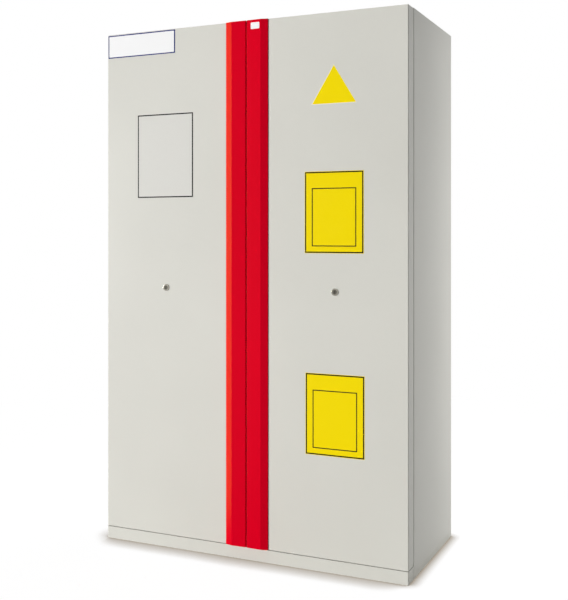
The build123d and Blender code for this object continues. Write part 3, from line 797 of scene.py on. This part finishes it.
rail_seats = []
for low, high in loose_boxes(nodes["shelf_rails"]):
    y = (low.y + high.y) / 2
    on_outer_wall = abs(low.x + high.x) / 2 > WALL_MIDDLE
    faces_right = (low.x < 0) == on_outer_wall
    x, facing = (high.x, "+X") if faces_right else (low.x, "-X")
    rail_seats += [((x, y, z), facing) for z in (low.z + RAIL_END, high.z - RAIL_END)]
fasten("rail_screws", screw_head, SCREW_RADIUS, RAIL_PROUD, rail_seats, "root")
print("rail screws:", len(rail_seats))

# %% [markdown]
# Four screws hold the flange of each duct spigot to the roof, and almost flush ones run round the
# back panel. Their seats could be read from holes, but the sheets have none for them, so a bolt
# circle and an even spacing along the edges place them, as a drawing would.

# %% Spigot and back panel screws
SPIGOT_PLACES = ((-0.300, 0.154), (0.300, 0.154))
SPIGOT_SCREWS = 4
SPIGOT_SCREW_RADIUS = 4.0 * MILLIMETRE
SPIGOT_PROUD = 1.4 * MILLIMETRE
BOLT_CIRCLE = 0.059
FLANGE_THICK = 2.0 * MILLIMETRE
flange_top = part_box("roof_skin")[1].z + FLANGE_THICK
bolt_angles = [QUARTER * (index + 0.5) for index in range(SPIGOT_SCREWS)]
spigot_seats = [
    ((x + BOLT_CIRCLE * math.cos(angle), y + BOLT_CIRCLE * math.sin(angle), flange_top), "+Z")
    for x, y in SPIGOT_PLACES
    for angle in bolt_angles
]
fasten("spigot_screws", screw_head, SPIGOT_SCREW_RADIUS, SPIGOT_PROUD, spigot_seats, "root")

BACK_EDGE = 0.010
BACK_PROUD = 0.2 * MILLIMETRE
BACK_SCREWS_UP = 10
BACK_SCREWS_ACROSS = 7
back_low, back_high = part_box("back_skin")
back_sides = (back_low.x + BACK_EDGE, back_high.x - BACK_EDGE)
back_ends = (back_low.z + BACK_EDGE, back_high.z - BACK_EDGE)
back_places = [(x, z) for x in back_sides for z in spread(*back_ends, BACK_SCREWS_UP)]
back_places += [(x, z) for z in back_ends for x in spread(*back_sides, BACK_SCREWS_ACROSS)[1:-1]]
back_seats = [((x, back_high.y, z), "+Y") for x, z in back_places]
fasten("back_screws", screw_head, SCREW_RADIUS, BACK_PROUD, back_seats, "root")
print("spigot and back screws:", len(spigot_seats), len(back_seats))

# %% [markdown]
# One screw holds the pinion on the end of each key plug. It could ride on the door, but it turns
# with the key, so it rides on the key's own body. With the last screw made, the two unit heads that
# all the others were copied from have done their work and are removed.

# %% Pinion screws
PINION_SCREW_RADIUS = 3.5 * MILLIMETRE
PINION_PROUD = 1.2 * MILLIMETRE

for side in ("left", "right"):
    plug_low, plug_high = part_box("key_plug_" + side)
    place = ((plug_low.x + plug_high.x) / 2, plug_high.y, (plug_low.z + plug_high.z) / 2)
    seats = [(place, "+Y")]
    name = "pinion_screw_" + side
    fasten(name, screw_head, PINION_SCREW_RADIUS, PINION_PROUD, seats, "key_" + side)
    print(name, "at", tuple(round(value, 4) for value in place))
for head in (rivet_head, screw_head):
    bpy.data.objects.remove(head)

# %% [markdown]
# A studio has white walls that are seen, and that light whatever stands in front of them. A plain
# white world would do both at once and wash out the soft shade on the doors. A Light Path node tells
# what kind of ray asks: the camera and reflections see white, and the light that falls on the
# cabinet stays low, so that the lamps can shape it.

# %% Studio world
AMBIENT = 0.095
SEEN_LEVEL = 1.0


def seen_ray(tree):
    """1 for rays from the camera, a reflection or a see-through surface, and 0 for lighting rays."""
    light_path = tree.nodes.new("ShaderNodeLightPath")
    total = light_path.outputs["Is Camera Ray"]
    for kind in ("Is Glossy Ray", "Is Transmission Ray"):
        either = tree.nodes.new("ShaderNodeMath")
        either.operation = "MAXIMUM"
        tree.links.new(total, either.inputs[0])
        tree.links.new(light_path.outputs[kind], either.inputs[1])
        total = either.outputs["Value"]
    return total


def mixed(tree, factor, first, second):
    """The first shader where the factor is 0, and the second where it is 1."""
    mix = tree.nodes.new("ShaderNodeMixShader")
    tree.links.new(factor, mix.inputs["Fac"])
    tree.links.new(first, mix.inputs[1])
    tree.links.new(second, mix.inputs[2])
    return mix.outputs["Shader"]


def studio_world():
    world = bpy.data.worlds.new("studio")
    world.use_nodes = True
    tree = world.node_tree
    lighting = tree.nodes["Background"]
    lighting.inputs["Color"].default_value = WHITE
    lighting.inputs["Strength"].default_value = AMBIENT
    seen = tree.nodes.new("ShaderNodeBackground")
    seen.inputs["Color"].default_value = WHITE
    seen.inputs["Strength"].default_value = SEEN_LEVEL
    both = mixed(tree, seen_ray(tree), lighting.outputs["Background"], seen.outputs["Background"])
    tree.links.new(both, tree.nodes["World Output"].inputs["Surface"])
    return world


scene = bpy.context.scene
scene.view_settings.view_transform = "Standard"
scene.world = studio_world()
print("the world is seen at", SEEN_LEVEL, "and lights at", AMBIENT)

# %% [markdown]
# Where the plinth meets a white floor, the white turns to a warm grey. The lamps could cast that
# shade, but a floor that glows white drowns it. Ambient Occlusion measures it instead: how much of
# the view from a point of the floor is blocked close by. One node looks evenly all round. A second
# leans towards the back and looks further, because the shade is wider in front of the doors.

# %% Contact shade
FLOOR_GLOW = 0.95
CONTACT_SHADE = linear(150, 137, 118)
SHADE_SAMPLES = 32
NEAR_REACH = 0.045
NEAR_OPEN = (0.5, 1.0)
FRONT_REACH = 0.14
FRONT_LEAN = (0.45, 0.75, 0.5)
FRONT_OPEN = (0.27, 0.74)


def openness(tree, distance, limits, lean=None):
    """0 at the foot of whatever stands on the floor, rising to 1 at a distance."""
    nearness = tree.nodes.new("ShaderNodeAmbientOcclusion")
    nearness.samples = SHADE_SAMPLES
    nearness.inputs["Distance"].default_value = distance
    if lean:
        direction = tree.nodes.new("ShaderNodeCombineXYZ")
        for axis, value in zip("XYZ", Vector(lean).normalized()):
            direction.inputs[axis].default_value = value
        tree.links.new(direction.outputs["Vector"], nearness.inputs["Normal"])
    remap = tree.nodes.new("ShaderNodeMapRange")
    remap.inputs["From Min"].default_value = limits[0]
    remap.inputs["From Max"].default_value = limits[1]
    tree.links.new(nearness.outputs["AO"], remap.inputs["Value"])
    return remap.outputs["Result"]


def contact_glow(tree):
    """A white glow that turns to the contact shade close to whatever stands on the floor."""
    smaller = tree.nodes.new("ShaderNodeMath")
    smaller.operation = "MINIMUM"
    tree.links.new(openness(tree, NEAR_REACH, NEAR_OPEN), smaller.inputs[0])
    tree.links.new(openness(tree, FRONT_REACH, FRONT_OPEN, FRONT_LEAN), smaller.inputs[1])
    shade = tree.nodes.new("ShaderNodeMix")
    shade.data_type = "RGBA"
    shade.inputs["A"].default_value = CONTACT_SHADE
    shade.inputs["B"].default_value = WHITE
    tree.links.new(smaller.outputs["Value"], shade.inputs["Factor"])
    glow = tree.nodes.new("ShaderNodeEmission")
    glow.inputs["Strength"].default_value = FLOOR_GLOW
    tree.links.new(shade.outputs["Result"], glow.inputs["Color"])
    return glow.outputs["Emission"]


print("the shade reaches", NEAR_REACH, "m all round and", FRONT_REACH, "m in front")

# %% [markdown]
# The floor is a sheet of white paper that runs out of sight. A curved backdrop could hide its end,
# but it would stand in the way of views from behind. A wide plane that fades to plain white works
# from every side. To light by, it is a plain pale surface, which throws some light up on the doors.

# %% Studio floor
FLOOR_HALF = 30.0
FLOOR_LIT = 0.10
FLOOR_BOUNCE = 0.85
FADE = (1.4, 3.4)


def lit_white(tree, level):
    lit = tree.nodes.new("ShaderNodeBsdfDiffuse")
    lit.inputs["Color"].default_value = (level, level, level, 1.0)
    return lit.outputs["BSDF"]


def plain_white(tree):
    return tree.nodes.new("ShaderNodeEmission").outputs["Emission"]


def far_out(tree):
    """0 beside the cabinet and 1 far out, by the distance from the origin."""
    place = tree.nodes.new("ShaderNodeTexCoord")
    distance = tree.nodes.new("ShaderNodeVectorMath")
    distance.operation = "LENGTH"
    tree.links.new(place.outputs["Object"], distance.inputs[0])
    fade = tree.nodes.new("ShaderNodeMapRange")
    fade.interpolation_type = "SMOOTHSTEP"
    fade.inputs["From Min"].default_value = FADE[0]
    fade.inputs["From Max"].default_value = FADE[1]
    tree.links.new(distance.outputs["Value"], fade.inputs["Value"])
    return fade.outputs["Result"]


def floor_finish():
    """To look at, lit white with a glow that fades to plain white. To light by, a pale surface."""
    material = bpy.data.materials.new("studio_floor")
    material.use_nodes = True
    tree = material.node_tree
    tree.nodes.remove(tree.nodes["Principled BSDF"])
    both = tree.nodes.new("ShaderNodeAddShader")
    tree.links.new(lit_white(tree, FLOOR_LIT), both.inputs[0])
    tree.links.new(contact_glow(tree), both.inputs[1])
    looks = mixed(tree, far_out(tree), both.outputs["Shader"], plain_white(tree))
    surface = mixed(tree, seen_ray(tree), lit_white(tree, FLOOR_BOUNCE), looks)
    tree.links.new(surface, tree.nodes["Material Output"].inputs["Surface"])
    return material


bpy.ops.object.select_all(action="DESELECT")
bpy.ops.mesh.primitive_plane_add(size=2 * FLOOR_HALF, location=(0, 0, 0))
floor = bpy.context.object
floor.name = "studio_floor"
floor.data.materials.append(floor_finish())
floor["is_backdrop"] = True
print("floor half width:", FLOOR_HALF, "fades between", FADE)

# %% [markdown]
# The lamps are soft boxes, as in a studio. Small ones close by could light the cabinet too, but they
# leave bright patches on big flat doors. So a broad key stands far to the left, where it is even
# over the whole height, with one lamp overhead for the floor and one behind for the back. Only a
# tall strip on the right stands close, and lets that side grow lighter towards the back.

# %% Lamps
def soft_lamp(name, place, target, size, power, mirrored=True):
    """An area lamp that faces a point. The camera never sees it, and gloss only if it is mirrored."""
    lamp = bpy.data.lights.new(name, "AREA")
    lamp.shape = "RECTANGLE"
    lamp.size, lamp.size_y = size
    lamp.energy = power
    holder = bpy.data.objects.new(name, lamp)
    holder.location = place
    holder.rotation_euler = (Vector(target) - Vector(place)).to_track_quat("-Z", "Y").to_euler()
    holder.visible_camera = False
    holder.visible_glossy = mirrored
    scene.collection.objects.link(holder)
    return holder


lamps = [
    soft_lamp("key", place=(-19.2, -16.4, 1.6), target=(0, -0.3, 1.0), size=(8.0, 3.0), power=6700),
    soft_lamp("overhead", place=(0, 0, 9.0), target=(0, 0, 0), size=(5.0, 5.0), power=220),
    soft_lamp(
        "side_strip", place=(1.1, 0.85, 1.0), target=(0.6, 0.3, 1.0), size=(0.5, 2.2), power=8,
        mirrored=False,
    ),
    soft_lamp(
        "rear", place=(1.5, 8.0, 2.2), target=(0, 0.3, 1.0), size=(3.0, 3.0), power=280,
        mirrored=False,
    ),
]
print("lamps:", [(lamp.name, lamp.data.energy) for lamp in lamps])

# %% [markdown]
# The left slope of the folded handle has a warm sheen from top to foot. The key gives a sheen too,
# but only at the heights where its mirror image falls. A narrow strip close by, a little taller
# than the cabinet, gives an even one. Light linking keeps it to the two handles, and with its
# diffuse light off it adds that sheen and nothing else.

# %% Handle strip
STRIP_COLOUR = (0.75, 1.0, 0.05)
handle_strip = soft_lamp(
    "handle_strip", place=(-0.47, -0.575, 1.06), target=(-0.055, -0.3, 1.06), size=(0.15, 2.1), power=58
)
handle_strip.data.color = STRIP_COLOUR
handle_strip.visible_diffuse = False
lit_handles = bpy.data.collections.new("lit_handles")
for name in ("handle_left", "handle_right"):
    lit_handles.objects.link(nodes[name])
handle_strip.light_linking.receiver_collection = lit_handles

# %% [markdown]
# The camera stands at chest height, a few steps to the right of the doors. It could be tipped to
# take in the whole height, but then the uprights would lean together. A level camera keeps them
# upright, and the frame is moved over the cabinet with shift, as with a view camera.

# %% Camera
IMAGE_WIDTH = 568
IMAGE_HEIGHT = 600
FOCAL_PIXELS = 960.5
PRINCIPAL_POINT = (252.7, 233.9)
SENSOR_WIDTH = 36
CAMERA_PLACE = (1.5093, -3.4175, 1.1778)
CAMERA_YAW = math.radians(25.424)

view = bpy.data.cameras.new("view")
view.sensor_fit = "HORIZONTAL"
view.sensor_width = SENSOR_WIDTH
view.lens = FOCAL_PIXELS / IMAGE_WIDTH * SENSOR_WIDTH
view.shift_x = (IMAGE_WIDTH / 2 - PRINCIPAL_POINT[0]) / IMAGE_WIDTH
view.shift_y = (PRINCIPAL_POINT[1] - IMAGE_HEIGHT / 2) / IMAGE_WIDTH
camera = bpy.data.objects.new("view", view)
camera.location = CAMERA_PLACE
camera.rotation_euler = (QUARTER, 0, CAMERA_YAW)
scene.collection.objects.link(camera)
scene.camera = camera
print("lens:", round(view.lens, 2), "shift:", round(view.shift_x, 4), round(view.shift_y, 4))

# %% [markdown]
# Last, the dressed cabinet is measured. Its size could be taken on trust, but a plate or a screw in
# the wrong place would show at once in its box.

# %% Measure and finish
low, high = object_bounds()
